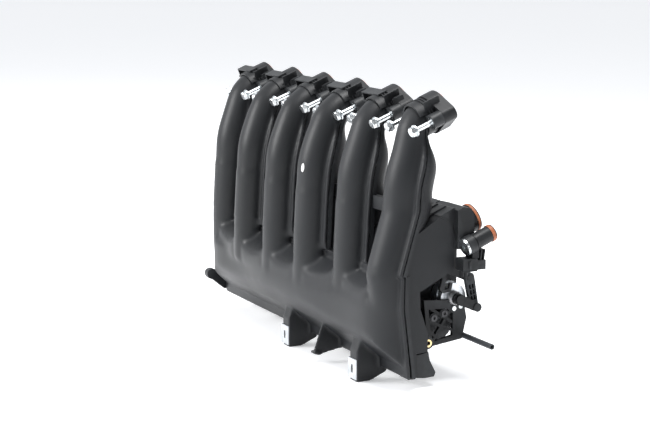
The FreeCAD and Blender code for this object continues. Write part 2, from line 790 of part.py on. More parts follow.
def make_flap_carrier():
    """Drop-in frame across the plenum: six windows and the bearings of the shaft."""
    y0 = flap_axis_y - carrier_t / 2
    z0 = flap_axis_z - carrier_h / 2
    wall_left = plenum_left + wall
    wall_right = plenum_recess_x - wall
    plate = box(wall_left, wall_right, y0, y0 + carrier_t, z0, z0 + carrier_h)
    solids = [flap_rod(9.0, wall_left, carrier_left + 4), flap_rod(9.0, carrier_right,
                                                                   wall_right)]
    for x in post_x:
        solids.append(flap_rod(7.0, x - 4, x + 4))
    frame = plate.fuse(solids)
    tools = [flap_rod(bush_r + 0.02, wall_left + 1, carrier_left + 5),
             flap_rod(bush_r + 0.02, carrier_right - 1, wall_right + 1),
             flap_rod(shaft_r + inner_gap, carrier_left, carrier_right)]
    for x in window_x:
        half = flap_w / 2 + window_gap
        tall = flap_h / 2 + window_gap
        tools.append(box(x - half, x + half, y0 - 8, y0 + carrier_t + 8, flap_axis_z - tall,
                         flap_axis_z + tall))
    return frame.cut(tools)


def make_bushes():
    left = plenum_left + wall + 1
    return [flap_rod(bush_r, left, carrier_left + 4).cut(
                flap_rod(shaft_r + run_gap, left + 2, carrier_left + 5)),
            flap_rod(bush_r, carrier_right, plenum_recess_x + 2).cut(
                flap_rod(shaft_r + run_gap, carrier_right - 1, plenum_recess_x + 3))]


def make_flap_shaft():
    left = plenum_left + wall + 3.3
    shaft = flap_rod(shaft_r, left, fork_back_x + 4.5)
    tools = []
    for x in window_x:
        tools.append(box(x - flap_w / 2 - 0.1, x + flap_w / 2 + 0.1, flap_axis_y - flap_t / 2,
                         flap_axis_y + flap_t / 2, flap_axis_z - 6, flap_axis_z + 6))
        for side in (-1, 1):
            at = x + side * screw_offset
            tools.append(rod(1.55, Vector(at, flap_axis_y - 6, flap_axis_z), Vector(0, 1, 0), 12))
            tools.append(rod(2.9, Vector(at, flap_axis_y + 3.0, flap_axis_z), Vector(0, 1, 0), 4))
    return shaft.cut(tools)


def make_flap_plate(x):
    plate = box(x - flap_w / 2, x + flap_w / 2, flap_axis_y - flap_t / 2,
                flap_axis_y + flap_t / 2, flap_axis_z - flap_h / 2, flap_axis_z + flap_h / 2)
    holes = [rod(1.55, Vector(x + side * screw_offset, flap_axis_y - 6, flap_axis_z),
                 Vector(0, 1, 0), 12) for side in (-1, 1)]
    return plate.cut(holes)


def make_flap_screws():
    screws = []
    for x in window_x:
        for side in (-1, 1):
            at = Vector(x + side * screw_offset, flap_axis_y - 3.8, flap_axis_z)
            shank = rod(1.5, at, Vector(0, 1, 0), 6.8)
            head = rod(2.8, at + Vector(0, 6.8, 0), Vector(0, 1, 0), 1.5)
            screws.append(shank.fuse(head).removeSplitter())
    return screws


# ---------------------------------------------------------------- linkage and actuator

def arm_plate(y0, z0, r0, y1, z1, r1, x0, x1):
    """Tapered plate with round ends, between two centres in the YZ plane."""
    dy = y1 - y0
    dz = z1 - z0
    length = math.hypot(dy, dz)
    ny = -dz / length
    nz = dy / length
    middle = extrude_x([(y0 + ny * r0, z0 + nz * r0), (y1 + ny * r1, z1 + nz * r1),
                        (y1 - ny * r1, z1 - nz * r1), (y0 - ny * r0, z0 - nz * r0)], x0, x1)
    axis = Vector(1, 0, 0)
    ends = [rod(r0, Vector(x0, y0, z0), axis, x1 - x0), rod(r1, Vector(x0, y1, z1), axis, x1 - x0)]
    return middle.fuse(ends).removeSplitter()


lower_y = actuator_y + lever_dy        # joint between actuator lever and link
lower_z = actuator_z + lever_dz
upper_y = flap_axis_y + lever_dy       # joint between link and flap lever
upper_z = flap_axis_z + lever_dz


def make_flap_lever():
    axis = Vector(1, 0, 0)
    hub_r = 6.2
    arm = arm_plate(flap_axis_y, flap_axis_z, hub_r, upper_y, upper_z, 4.8, fork_back_x,
                    fork_back_x + 5.4)
    hub = flap_rod(hub_r, fork_back_x - 4, fork_back_x + 5.4)
    stud = rod(stud_r, Vector(fork_back_x + 5, upper_y, upper_z), axis,
               link_back_x + link_t - fork_back_x - 4.7)
    cap = rod(stud_r + 0.7, Vector(link_back_x + link_t + inner_gap, upper_y, upper_z), axis, 0.9)
    cap_neck = rod(stud_r, Vector(link_back_x + link_t, upper_y, upper_z), axis, 1.0)
    bore = flap_rod(shaft_r + 0.02, fork_back_x - 5, fork_back_x + 4.5)
    return join([arm, hub, stud, cap, cap_neck]).cut(bore)


def make_link_rod():
    """Ribbed link between the two levers' studs."""
    body = arm_plate(lower_y, lower_z, 5.4, upper_y, upper_z, 6.2, link_back_x,
                     link_back_x + link_t)
    dy = upper_y - lower_y
    dz = upper_z - lower_z
    axis = Vector(1, 0, 0)
    tools = [rod(stud_r + run_gap, Vector(link_back_x - 1, y, z), axis, link_t + 2)
             for y, z in ((lower_y, lower_z), (upper_y, upper_z))]
    turn = math.degrees(math.atan2(-dy, dz))
    for k in range(3):
        low = 8.0 + k * 7.0
        for side in (-1, 1):
            pocket = Part.makeBox(link_t, 2.6, 5.6, Vector(link_back_x + 1.6,
                                                          0.7 if side > 0 else -3.3, low))
            pocket.rotate(Vector(0, 0, 0), axis, turn)
            pocket.translate(Vector(0, lower_y, lower_z))
            tools.append(pocket)
    return body.cut(tools)


def make_actuator_lever():
    axis = Vector(1, 0, 0)
    centre = Vector(0, actuator_y, actuator_z)
    arm = arm_plate(actuator_y, actuator_z, 6.6, lower_y, lower_z, 4.8, lever_back_x,
                    lever_back_x + lever_t)
    spindle = rod(shaft_r, centre + axis * (can_back_x + 4), axis,
                  lever_back_x - can_back_x - 3)
    cap = rod(5.0, centre + axis * (lever_back_x + lever_t), axis, 3.5)
    stud = rod(stud_r, Vector(link_back_x - inner_gap, lower_y, lower_z), axis,
               lever_back_x - link_back_x + 1)
    stud_head = rod(stud_r + 0.7, Vector(link_back_x - inner_gap - 0.9, lower_y, lower_z), axis,
                    0.9)
    boss = rod(5.2, Vector(lever_back_x, lower_y, lower_z), axis, lever_t + 1.2)
    return join([arm, spindle, cap, stud, stud_head, boss])


def make_vane():
    axis = Vector(1, 0, 0)
    start = Vector(can_back_x + 4, actuator_y, actuator_z)
    hub = rod(7.0, start, axis, 14)
    blade = Part.makeBox(14, 4, 13.8, start + Vector(0, -2, 0))
    blade.rotate(Vector(0, actuator_y, actuator_z), axis, 120)
    bore = rod(shaft_r + 0.02, start - axis, axis, 17)
    return hub.fuse(blade).cut(bore)


def make_can_back():
    axis = Vector(1, 0, 0)
    centre = Vector(0, actuator_y, actuator_z)
    body = rod(can_r, centre + axis * can_back_x, axis, can_joint_x - can_back_x)
    flange = rod(can_r + 0.9, centre + axis * (can_joint_x - 2), axis, 2)
    hollow = rod(can_r - 2.0, centre + axis * (can_back_x + 2.5), axis, 30)
    nipple = rod(pipe_bore_r - 0.04, pipe_start() - pipe_drop() * 4.2, pipe_drop(), 10)
    return join([body, flange]).cut(hollow).fuse(nipple.cut(hollow)).removeSplitter()


def make_can_front():
    axis = Vector(1, 0, 0)
    centre = Vector(0, actuator_y, actuator_z)
    body = rod(can_r, centre + axis * can_joint_x, axis, can_front_x - can_joint_x)
    flange = rod(can_r + 0.9, centre + axis * can_joint_x, axis, 2)
    neck = rod(6.0, centre + axis * (can_front_x - 1), axis, lever_back_x - can_front_x + 0.6)
    hollow = rod(can_r - 2.0, centre + axis * (can_joint_x - 1), axis,
                 can_front_x - can_joint_x - 1.5)
    bore = rod(shaft_r + run_gap, centre + axis * can_joint_x, axis, 40)
    holes = [rod(1.52, place - axis * 5, axis, 10) for place in rivet_places()]
    return join([body, flange, neck]).cut([hollow, bore] + holes)


def rivet_places():
    """Centres of the two rivets, on the front face of the can."""
    places = []
    for angle in (-100, -57):
        a = math.radians(angle)
        places.append(Vector(can_front_x, actuator_y + 12.4 * math.cos(a),
                             actuator_z + 12.4 * math.sin(a)))
    return places


def make_rivets():
    axis = Vector(1, 0, 0)
    rivets = []
    for place in rivet_places():
        shank = rod(1.5, place - axis * 2.5, axis, bracket_t + 2.5)
        head = rod(2.7, place + axis * bracket_t, axis, 1.3)
        rivets.append(shank.fuse(head).removeSplitter())
    return rivets


def make_return_spring():
    turns = 4
    wire_r = 0.55
    mean_r = 7.4
    length = lever_back_x - can_front_x - 2 * wire_r - 0.4
    helix = Part.makeHelix(length / turns, length, mean_r)
    profile = Part.Wire(Part.makeCircle(wire_r, Vector(mean_r, 0, 0), Vector(0, 1, 0)))
    coil = Part.Wire(helix).makePipeShell([profile], True, True)
    coil.rotate(Vector(0, 0, 0), Vector(0, 1, 0), 90)
    coil.translate(Vector(can_front_x + wire_r + 0.1, actuator_y, actuator_z))
    return coil


bracket_outline = [(28.5, -199.6), (82, -204.6), (86.5, -225.6), (80.5, -250.6), (37.5, -255.6),
                   (32, -232)]
lattice_window = [(35.0, -211), (60, -212.5), (68, -219), (67.5, -245.5), (41.5, -250), (37, -232)]
lattice_bars = [((32, -224), (72, -241)), ((39, -253), (66, -213)), ((34, -208), (70, -231)),
                ((36, -237), (56, -253))]


def make_support_bracket():
    """Lattice plate on two pillars of the rear shell; the actuator is riveted to it."""
    axis = Vector(1, 0, 0)
    x1 = can_front_x + bracket_t
    plate = extrude_x(bracket_outline, can_front_x, x1)
    window = extrude_x(lattice_window, can_front_x - 1, x1 + 1)
    bars = []
    for (y0, z0), (y1, z1) in lattice_bars:
        bars.append(arm_plate(y0, z0, 1.7, y1, z1, 1.7, can_front_x, x1 - 0.6))
    for y, z in pillar_places:
        bars.append(rod(5.6, Vector(can_front_x, y, z), axis, bracket_t))
    body = plate.cut(window).fuse([bar.common(plate) for bar in bars])
    tools = [rod(9.0, Vector(can_front_x - 1, actuator_y, actuator_z), axis, 12)]
    for y, z in pillar_places:
        tools.append(rod(2.3, Vector(can_front_x - 1, y, z), axis, 12))
        tools.append(rod(4.1, Vector(x1 - 1.5, y, z), axis, 5))
    for place in rivet_places():
        tools.append(rod(1.52, place - axis, axis, 12))
    return body.cut(tools)


def make_bracket_screws():
    axis = Vector(1, 0, 0)
    screws = []
    for y, z in pillar_places:
        seat = Vector(can_front_x + bracket_t - 1.5, y, z)
        shank = rod(2.05, seat - axis * 18, axis, 18)
        head = rod(4.0, seat, axis, 2.6)
        socket = rod(1.7, seat + axis * 1.0, axis, 3)
        screws.append(shank.fuse(head).removeSplitter().cut(socket))
    return screws


# ---------------------------------------------------------------- vacuum pipe

def pipe_start():
    return Vector(pipe_start_x, pipe_y - 5.5, pipe_z + 29)


def pipe_drop():
    return (Vector(pipe_start_x, pipe_y, pipe_z) - pipe_start()).normalize()


def make_vacuum_pipe():
    corner = Vector(pipe_start_x, pipe_y, pipe_z)
    drop = pipe_drop()
    axis = Vector(1, 0, 0)
    into = corner - drop * pipe_bend_r
    out = corner + axis * pipe_bend_r
    hub = into + axis * pipe_bend_r
    mid = hub + (corner - hub).normalize() * pipe_bend_r
    path = Part.Wire([Part.LineSegment(pipe_start(), into).toShape(),
                      Part.Arc(into, mid, out).toShape(),
                      Part.LineSegment(out, Vector(pipe_end_x, pipe_y, pipe_z)).toShape()])
    walls = []
    for radius in (pipe_r, pipe_bore_r):
        profile = Part.Wire(Part.makeCircle(radius, pipe_start(), drop))
        walls.append(path.makePipeShell([profile], True, True))
    return walls[0].cut(walls[1])


# ---------------------------------------------------------------- vent

def on_big(s):
    return Vector(big_tube_x, big_mouth[0] + s * cos_t, big_mouth[1] + s * sin_t)


def on_small(s):
    return Vector(small_tube_x, plug_seat[0] + s * cos_t, plug_seat[1] + s * sin_t)


def make_vent_body():
    block = extrude_x([(plenum_back, -93.2), (66, -89.5), (76, -92), (80, -100), (80, -132),
                       (74, -138), (plenum_back, -138)], plenum_recess_x + 2, 258)
    roof = extrude_x([(39.6, -99.5), (plenum_back, -91.6), (plenum_back + 2, -92),
                      (plenum_back + 2, -122), (plenum_back, -122), (54, -110)],
                     plenum_recess_x + 2, collector_right - 2)
    end = small_tube_length
    lug = box(254, 269, 71.5, 80, valve_top, -136)
    solids = [roof,rod(big_tube_r, on_big(-26), port_dir, 26),
              rod(plug_r + 0.5, on_small(3), port_dir, 10),
              rod(small_tube_r - 0.9, on_small(12), port_dir, 6),
              rod(small_tube_r, on_small(14.6), port_dir, end - 14.6),
              rod(8.5, Vector(240, 76, -130.5), Vector(1, 0, 0), small_tube_x - 240), lug]
    body = block.fuse(solids).removeSplitter()
    tools = [rod(13.4, on_big(-22), port_dir, 30), rod(7.2, on_small(9.8), port_dir, 40),
             rod(6.0, on_small(2), port_dir, 6.2),
             rod(6.0, Vector(big_tube_x, plenum_back - 1, -127), Vector(0, 1, 0), 18),
             rod(4.6, Vector(big_tube_x, 76, -130.5), Vector(1, 0, 0), small_tube_x - big_tube_x),
             ring(big_tube_r + 1, big_tube_r - 1.1, on_big(-4.5), port_dir, 3.0),
             ring(small_tube_r + 1, small_tube_r - 1.0, on_small(end - 5.5), port_dir, 4.0)]
    return body.cut(tools)


def make_vent_seal(large):
    if large:
        return ring(big_tube_r + 0.7, big_tube_r - 1.05, on_big(-4.45), port_dir, 2.9)
    return ring(small_tube_r + 0.7, small_tube_r - 0.95, on_small(small_tube_length - 5.45),
                port_dir, 3.9)


def make_plug():
    disc = rod(plug_r, on_small(0), port_dir, 2.95)
    shank = rod(5.95, on_small(2.5), port_dir, 5.2)
    recess = rod(2.6, on_small(-1), port_dir, 4.2)
    return disc.fuse(shank).removeSplitter().cut(recess)


def make_valve():
    body = box(253, 270, 58.5, 78, valve_top - 15, valve_top)
    body = body.makeFillet(2.0, [e for e in body.Edges
                                 if abs(e.tangentAt(e.FirstParameter).x) > 0.99])
    ridge = box(269, 271.5, 66, 69, valve_top - 12, valve_top - 3)
    nipples = [rod(2.2, Vector(x, 64, valve_top - 14), Vector(0, 0, -1), 9) for x in (257.5, 266)]
    bores = [rod(1.2, Vector(x, 64, valve_top - 10), Vector(0, 0, -1), 15) for x in (257.5, 266)]
    return body.fuse([ridge] + nipples).cut(bores)


def make_connector():
    body = box(255, 268, 78, 90, valve_top - 14, valve_top - 3)
    socket = box(257, 266, 82, 91, valve_top - 12, valve_top - 5)
    fins = [extrude_x([(y, valve_top - 4), (y + 2.0, valve_top + 9), (y + 3.6, valve_top + 9),
                       (y + 1.8, valve_top - 4)], 256, 267) for y in (82.5, 86.5)]
    return body.fuse(fins).cut(socket)


# ---------------------------------------------------------------- build

def build():
    add("front_shell", make_front_shell())
    add("rear_shell", make_rear_shell())
    add("plenum_rear_cover", make_rear_cover())
    add("throttle_seal", make_throttle_seal())
    add("throttle_inserts", Part.makeCompound(make_throttle_inserts()))
    bolts = []
    sleeves = []
    for i, x in enumerate(runner_x):
        add("port_collar_%d" % (i + 1), make_collar(i, x))
        add("port_seal_%d" % (i + 1), make_seal(x))
        for side in (-1, 1):
            bolts.append(make_bolt(x + side * bolt_offset))
            sleeves.append(make_sleeve(x + side * bolt_offset))
        if i < runner_count - 1:
            add("loom_channel_%d" % (i + 1), make_loom_channel(x))
    add("captive_bolts", Part.makeCompound(bolts))
    add("bolt_sleeves", Part.makeCompound(sleeves))
    add("clip_nuts", Part.makeCompound([make_clip_nut(x) for x in bracket_x]))
    add("support_insert", make_support_insert())
    add("end_grommet", make_grommet())
    add("flap_carrier", make_flap_carrier())
    add("shaft_bushes", Part.makeCompound(make_bushes()))
    add("flap_shaft", make_flap_shaft())
    for k, x in enumerate(window_x):
        add("flap_plate_%d" % (k + 1), make_flap_plate(x))
    add("flap_screws", Part.makeCompound(make_flap_screws()))
    add("flap_lever", make_flap_lever())
    add("link_rod", make_link_rod())
    add("actuator_lever", make_actuator_lever())
    add("actuator_vane", make_vane())
    add("actuator_can_back", make_can_back())
    add("actuator_can_front", make_can_front())
    add("actuator_rivets", Part.makeCompound(make_rivets()))
    add("return_spring", make_return_spring())
    add("support_bracket", make_support_bracket())
    add("bracket_screws", Part.makeCompound(make_bracket_screws()))
    add("vacuum_pipe", make_vacuum_pipe())
    add("vent_body", make_vent_body())
    add("vent_seal_large", make_vent_seal(True))
    add("vent_seal_small", make_vent_seal(False))
    add("blanking_plug", make_plug())
    add("changeover_valve", make_valve())
    add("valve_connector", make_connector())


def export():
    os.makedirs("parts", exist_ok=True)
    whole = FreeCAD.BoundBox()
    for shape in parts.values():
        whole.add(shape.BoundBox)
    shift = Vector(-whole.Center.x, -whole.Center.y, -whole.ZMin)
    print("shift", round(shift.x, 3), round(shift.y, 3), round(shift.z, 3))
    for name, shape in parts.items():
        moved = shape.copy()
        moved.translate(shift)
        print(name, "solids", len(moved.Solids), "valid", moved.isValid(),
              "volume", round(moved.Volume))
        moved.exportStep("parts/%s.step" % name)


build()
export()
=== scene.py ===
import json
import math

import bmesh
import bpy
from mathutils import Matrix, Vector
from mathutils.bvhtree import BVHTree


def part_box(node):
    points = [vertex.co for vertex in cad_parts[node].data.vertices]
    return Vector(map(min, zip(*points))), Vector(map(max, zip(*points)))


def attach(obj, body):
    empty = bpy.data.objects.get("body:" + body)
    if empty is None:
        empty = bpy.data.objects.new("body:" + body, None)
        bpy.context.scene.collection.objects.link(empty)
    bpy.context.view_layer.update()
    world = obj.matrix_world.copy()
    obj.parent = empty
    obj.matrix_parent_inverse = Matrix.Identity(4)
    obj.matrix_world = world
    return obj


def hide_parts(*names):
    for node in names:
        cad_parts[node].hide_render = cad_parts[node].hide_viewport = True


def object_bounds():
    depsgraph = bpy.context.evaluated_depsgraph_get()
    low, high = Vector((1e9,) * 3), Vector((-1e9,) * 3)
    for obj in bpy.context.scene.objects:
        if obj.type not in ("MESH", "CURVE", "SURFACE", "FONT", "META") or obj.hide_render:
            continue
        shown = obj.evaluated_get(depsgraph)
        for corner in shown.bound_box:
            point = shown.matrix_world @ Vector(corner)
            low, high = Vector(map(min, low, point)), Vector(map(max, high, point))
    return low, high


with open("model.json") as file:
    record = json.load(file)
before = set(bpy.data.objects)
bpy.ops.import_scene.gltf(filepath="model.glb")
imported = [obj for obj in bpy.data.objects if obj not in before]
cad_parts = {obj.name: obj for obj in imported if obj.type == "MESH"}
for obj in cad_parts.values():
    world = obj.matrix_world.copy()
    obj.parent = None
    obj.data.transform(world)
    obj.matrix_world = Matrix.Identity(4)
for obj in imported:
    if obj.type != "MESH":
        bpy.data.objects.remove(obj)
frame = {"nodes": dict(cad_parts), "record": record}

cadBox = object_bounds()
nodes = frame["nodes"]
scene = bpy.context.scene
portTilt = math.radians(22.0)  # the ports lean back from level
portDir = Vector((0, math.cos(portTilt), math.sin(portTilt)))
portUp = Vector((0, -math.sin(portTilt), math.cos(portTilt)))
rayStart = -0.3  # well in front of the object
rayDir = Vector((0, 1, 0))
runners = range(1, 7)


def middle(node):
    low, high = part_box(node)
    return (low + high) / 2


runnerX = [middle("port_seal_%d" % k).x for k in runners]
print("frame loaded, runners at", [round(x, 3) for x in runnerX])


camera = {
    "place": (1.77137, -0.91884, 0.51784),
    "right": (0.45447, 0.89076, 0.0),
    "up": (-0.15582, 0.07950, 0.98458),
    "lens": 88.53,
    "sensor": 36.0,
    "farthest": 50,
}


def makeCamera():
    data = bpy.data.cameras.new("viewCamera")
    data.lens = camera["lens"]
    data.sensor_width = camera["sensor"]
    data.clip_end = camera["farthest"]
    eye = bpy.data.objects.new("viewCamera", data)
    scene.collection.objects.link(eye)
    right = Vector(camera["right"])
    up = Vector(camera["up"])
    back = right.cross(up)
    turn = Matrix((right, up, back)).transposed().to_4x4()
    eye.matrix_world = Matrix.Translation(Vector(camera["place"])) @ turn
    scene.camera = eye


studio = {
    "floorSize": 40.0,
    "floorColor": (0.93, 0.935, 0.945, 1),
    "floorGlow": 0.35,
    "skySeen": (1.0, 1.0, 1.0, 1),
    "skyBright": (0.95, 0.97, 1.0, 1),
    "skyDark": (0.030, 0.032, 0.036, 1),
    "brightSide": (-0.62, -0.62, 0.48),
    "fadeFrom": -0.45,
    "fadeTo": 0.85,
    "floorRoughness": 0.9,
    "softboxes": (             # name, place, width and watts
        ("softboxKey", (-0.9, -2.3, 1.2), 1.1, 62.0),
        ("softboxTop", (0.5, -0.1, 2.2), 0.8, 42.0),
        ("softboxBack", (-1.0, 2.0, 1.2), 1.4, 30.0),
        ("softboxRight", (2.2, 0.9, 0.9), 0.35, 3.0),
    ),
}


def makeSky():
    # a pale backdrop, and soft daylight that comes mostly from one side
    world = bpy.data.worlds.new("studioSky")
    world.use_nodes = True
    tree = world.node_tree
    light = tree.nodes["Background"]
    where = tree.nodes.new("ShaderNodeTexCoord")
    side = tree.nodes.new("ShaderNodeVectorMath")
    side.operation = "DOT_PRODUCT"
    side.inputs[1].default_value = Vector(studio["brightSide"]).normalized()
    tree.links.new(where.outputs["Generated"], side.inputs[0])
    fade = tree.nodes.new("ShaderNodeMapRange")
    fade.interpolation_type = "SMOOTHSTEP"
    fade.inputs["From Min"].default_value = studio["fadeFrom"]
    fade.inputs["From Max"].default_value = studio["fadeTo"]
    tree.links.new(side.outputs["Value"], fade.inputs["Value"])
    shade = tree.nodes.new("ShaderNodeMix")
    shade.data_type = "RGBA"   # its colors are inputs 6 and 7, and output 2
    shade.inputs[6].default_value = studio["skyDark"]
    shade.inputs[7].default_value = studio["skyBright"]
    tree.links.new(fade.outputs["Result"], shade.inputs["Factor"])
    tree.links.new(shade.outputs[2], light.inputs["Color"])
    seen = tree.nodes.new("ShaderNodeBackground")
    seen.inputs["Color"].default_value = studio["skySeen"]
    path = tree.nodes.new("ShaderNodeLightPath")
    either = tree.nodes.new("ShaderNodeMixShader")
    tree.links.new(path.outputs["Is Camera Ray"], either.inputs["Fac"])
    tree.links.new(light.outputs["Background"], either.inputs[1])
    tree.links.new(seen.outputs["Background"], either.inputs[2])
    tree.links.new(either.outputs["Shader"], tree.nodes["World Output"].inputs["Surface"])
    return world


def makeStudio():
    mesh = bpy.data.meshes.new("studioFloor")
    bm = bmesh.new()
    bmesh.ops.create_grid(bm, x_segments=1, y_segments=1, size=studio["floorSize"])
    bm.to_mesh(mesh)
    bm.free()
    floor = bpy.data.objects.new("studioFloor", mesh)
    scene.collection.objects.link(floor)
    paint = bpy.data.materials.new("floorPaper")
    paint.use_nodes = True
    shader = paint.node_tree.nodes["Principled BSDF"]
    shader.inputs["Base Color"].default_value = studio["floorColor"]
    shader.inputs["Roughness"].default_value = studio["floorRoughness"]
    shader.inputs["Emission Color"].default_value = studio["floorColor"]
    shader.inputs["Emission Strength"].default_value = studio["floorGlow"]
    mesh.materials.append(paint)
    scene.world = makeSky()
    aim = (Vector(cadBox[0]) + Vector(cadBox[1])) / 2
    for name, place, size, power in studio["softboxes"]:
        lamp = bpy.data.lights.new(name, "AREA")
        lamp.shape = "SQUARE"
        lamp.size = size
        lamp.energy = power
        box = bpy.data.objects.new(name, lamp)
        scene.collection.objects.link(box)
        box.location = place
        box.rotation_euler = (aim - Vector(place)).to_track_quat("-Z", "Y").to_euler()
    scene.view_settings.view_transform = "Standard"


makeCamera()
makeStudio()
print("camera and studio ready")


def newGroup(name, ins, outs):
    group = bpy.data.node_groups.new(name, "ShaderNodeTree")
    for label, kind, value in ins:
        socket = group.interface.new_socket(label, in_out="INPUT", socket_type=kind)
        socket.default_value = value
    for label, kind in outs:
        group.interface.new_socket(label, in_out="OUTPUT", socket_type=kind)
    start = group.nodes.new("NodeGroupInput")
    end = group.nodes.new("NodeGroupOutput")
    return group, start, end


def addNode(tree, kind, **values):
    node = tree.nodes.new(kind)
    for key, value in values.items():
        setattr(node, key, value)
    return node


grainNoise = {"fineDetail": 3.0, "fineRoughness": 0.6, "broadDetail": 5.0,
              "broadRoughness": 0.55}


def makeGrainGroup():
    # fine sparkle of a glass-filled moulding, with broad flow marks under it
    group, start, end = newGroup(
        "mouldGrain",
        (("Grain Scale", "NodeSocketFloat", 900.0), ("Flow Scale", "NodeSocketFloat", 9.0),
         ("Stretch", "NodeSocketFloat", 0.35)),
        (("Grain", "NodeSocketFloat"), ("Flow", "NodeSocketFloat")))
    links = group.links
    where = addNode(group, "ShaderNodeTexCoord")
    fine = addNode(group, "ShaderNodeTexNoise")
    fine.inputs["Detail"].default_value = grainNoise["fineDetail"]
    fine.inputs["Roughness"].default_value = grainNoise["fineRoughness"]
    links.new(where.outputs["Object"], fine.inputs["Vector"])
    links.new(start.outputs["Grain Scale"], fine.inputs["Scale"])
    squeeze = addNode(group, "ShaderNodeCombineXYZ")
    squeeze.inputs["X"].default_value = 1.0
    squeeze.inputs["Y"].default_value = 1.0
    links.new(start.outputs["Stretch"], squeeze.inputs["Z"])
    along = addNode(group, "ShaderNodeVectorMath", operation="MULTIPLY")
    links.new(where.outputs["Object"], along.inputs[0])
    links.new(squeeze.outputs["Vector"], along.inputs[1])
    broad = addNode(group, "ShaderNodeTexNoise")
    broad.inputs["Detail"].default_value = grainNoise["broadDetail"]
    broad.inputs["Roughness"].default_value = grainNoise["broadRoughness"]
    links.new(along.outputs["Vector"], broad.inputs["Vector"])
    links.new(start.outputs["Flow Scale"], broad.inputs["Scale"])
    links.new(fine.outputs["Fac"], end.inputs["Grain"])
    links.new(broad.outputs["Fac"], end.inputs["Flow"])
    return group


# pointiness range of the pale edges: rubbed wear and a painted edge highlight
edgeRubAndHighlight = {"edgeFrom": 0.53, "edgeTo": 0.62, "noiseDetail": 2.0}


def makeRubAndHighlightGroup():
    # pale edges, partly rubbed wear and partly a painted highlight, broken up by noise
    group, start, end = newGroup(
        "edgeRubAndHighlight",
        (("Amount", "NodeSocketFloat", 0.5), ("Break Scale", "NodeSocketFloat", 120.0)),
        (("Rub And Highlight", "NodeSocketFloat"),))
    links = group.links
    shape = addNode(group, "ShaderNodeNewGeometry")
    edge = addNode(group, "ShaderNodeMapRange")
    edge.inputs["From Min"].default_value = edgeRubAndHighlight["edgeFrom"]
    edge.inputs["From Max"].default_value = edgeRubAndHighlight["edgeTo"]
    links.new(shape.outputs["Pointiness"], edge.inputs["Value"])
    where = addNode(group, "ShaderNodeTexCoord")
    noise = addNode(group, "ShaderNodeTexNoise")
    noise.inputs["Detail"].default_value = edgeRubAndHighlight["noiseDetail"]
    links.new(where.outputs["Object"], noise.inputs["Vector"])
    links.new(start.outputs["Break Scale"], noise.inputs["Scale"])
    broken = addNode(group, "ShaderNodeMath", operation="MULTIPLY")
    links.new(edge.outputs["Result"], broken.inputs[0])
    links.new(noise.outputs["Fac"], broken.inputs[1])
    strength = addNode(group, "ShaderNodeMath", operation="MULTIPLY", use_clamp=True)
    links.new(broken.outputs["Value"], strength.inputs[0])
    links.new(start.outputs["Amount"], strength.inputs[1])
    links.new(strength.outputs["Value"], end.inputs["Rub And Highlight"])
    return group


grainGroup = makeGrainGroup()
rubAndHighlightGroup = makeRubAndHighlightGroup()


def useGroup(tree, group, **values):
    node = tree.nodes.new("ShaderNodeGroup")
    node.node_tree = group
    for key, value in values.items():
        node.inputs[key].default_value = value
    return node


def mixColors(tree, factor, first, second):
    # the two colors are inputs 6 and 7 of the node, and the mixed one is output 2
    mix = addNode(tree, "ShaderNodeMix", data_type="RGBA")
    tree.links.new(factor, mix.inputs["Factor"])
    for socket, value in ((mix.inputs[6], first), (mix.inputs[7], second)):
        if isinstance(value, tuple):
            socket.default_value = value
        else:
            tree.links.new(value, socket)
    return mix.outputs[2]


def spreadValue(tree, source, low, high, newLow, newHigh):
    ramp = addNode(tree, "ShaderNodeMapRange")
    ramp.inputs["From Min"].default_value = low
    ramp.inputs["From Max"].default_value = high
    ramp.inputs["To Min"].default_value = newLow
    ramp.inputs["To Max"].default_value = newHigh
    tree.links.new(source, ramp.inputs["Value"])
    return ramp.outputs["Result"]


def newFinish(name):
    finish = bpy.data.materials.new(name)
    finish.use_nodes = True
    return finish, finish.node_tree, finish.node_tree.nodes["Principled BSDF"]


bumpDepth = {"plastic": 0.0004, "metal": 0.0002}
noiseSpan = (0.3, 0.7)      # most of a noise texture's values lie in here
flowSpan = (0.35, 0.65)     # narrower, for stronger flow marks
plasticTint = {"dark": (0.86, 0.92, 1.0), "pale": (1.22, 1.30, 1.44)}


def addBump(tree, shader, height, strength, depth):
    bump = addNode(tree, "ShaderNodeBump")
    bump.inputs["Strength"].default_value = strength
    bump.inputs["Distance"].default_value = depth
    tree.links.new(height, bump.inputs["Height"])
    tree.links.new(bump.outputs["Normal"], shader.inputs["Normal"])


def plasticFinish(name, look):
    finish, tree, shader = newFinish(name)
    grain = useGroup(tree, grainGroup, **{"Grain Scale": look["grain"],
                                          "Flow Scale": look["flow"],
                                          "Stretch": look["stretch"]})
    # pale edges over the body colour: rubbed wear and a painted edge highlight
    rubAndHighlight = useGroup(tree, rubAndHighlightGroup, **{"Amount": look["rubAndHighlight"]})
    flow = spreadValue(tree, grain.outputs["Flow"], *flowSpan, 0.0, 1.0)
    body = mixColors(tree, flow, look["dark"], look["pale"])
    skin = mixColors(tree, rubAndHighlight.outputs["Rub And Highlight"], body, look["worn"])
    tree.links.new(skin, shader.inputs["Base Color"])
    gloss = spreadValue(tree, grain.outputs["Flow"], *noiseSpan, look["smooth"], look["rough"])
    tree.links.new(gloss, shader.inputs["Roughness"])
    addBump(tree, shader, grain.outputs["Grain"], look["bump"], bumpDepth["plastic"])
    shader.inputs["Specular IOR Level"].default_value = look["shine"]
    return finish


